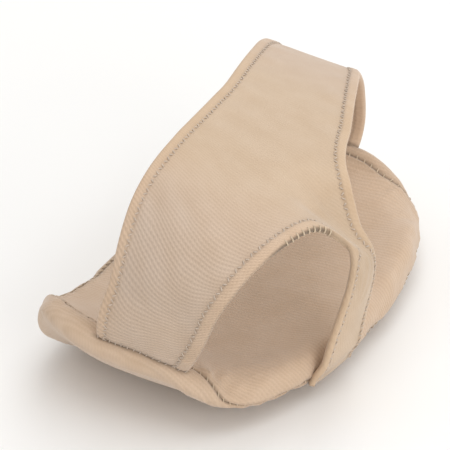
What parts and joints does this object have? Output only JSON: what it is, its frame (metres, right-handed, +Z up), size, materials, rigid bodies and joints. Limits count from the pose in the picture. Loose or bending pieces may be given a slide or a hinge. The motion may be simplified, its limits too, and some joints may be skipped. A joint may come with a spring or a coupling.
{
  "type": "gel foot pad",
  "caption": "Ball-of-foot gel pad for the left foot: a fabric-covered gel cushion on a stretch fabric band with a big-toe hole and a narrow strip between the toes.",
  "frame": {"origin": "the middle of the cushion's seat, the point of its upper face where the sole of the foot presses on it", "axes": "+X towards the toes, +Y towards the little-toe side, +Z up, out of the cushion's seat towards the instep"},
  "size_m": [0.0649, 0.0996, 0.0498],
  "materials": {
    "band_fabric": "smooth stretch knit, light beige",
    "cover_fabric": "soft stretch knit, beige",
    "sole_fabric": "soft stretch knit, beige",
    "gel": "soft translucent gel, hidden between the covers"
  },
  "bodies": {
    "root": {"forefoot_band": "band_fabric", "pad_top_cover": "cover_fabric", "pad_sole_cover": "sole_fabric", "gel_pad": "gel"}
  },
  "joints": []
}
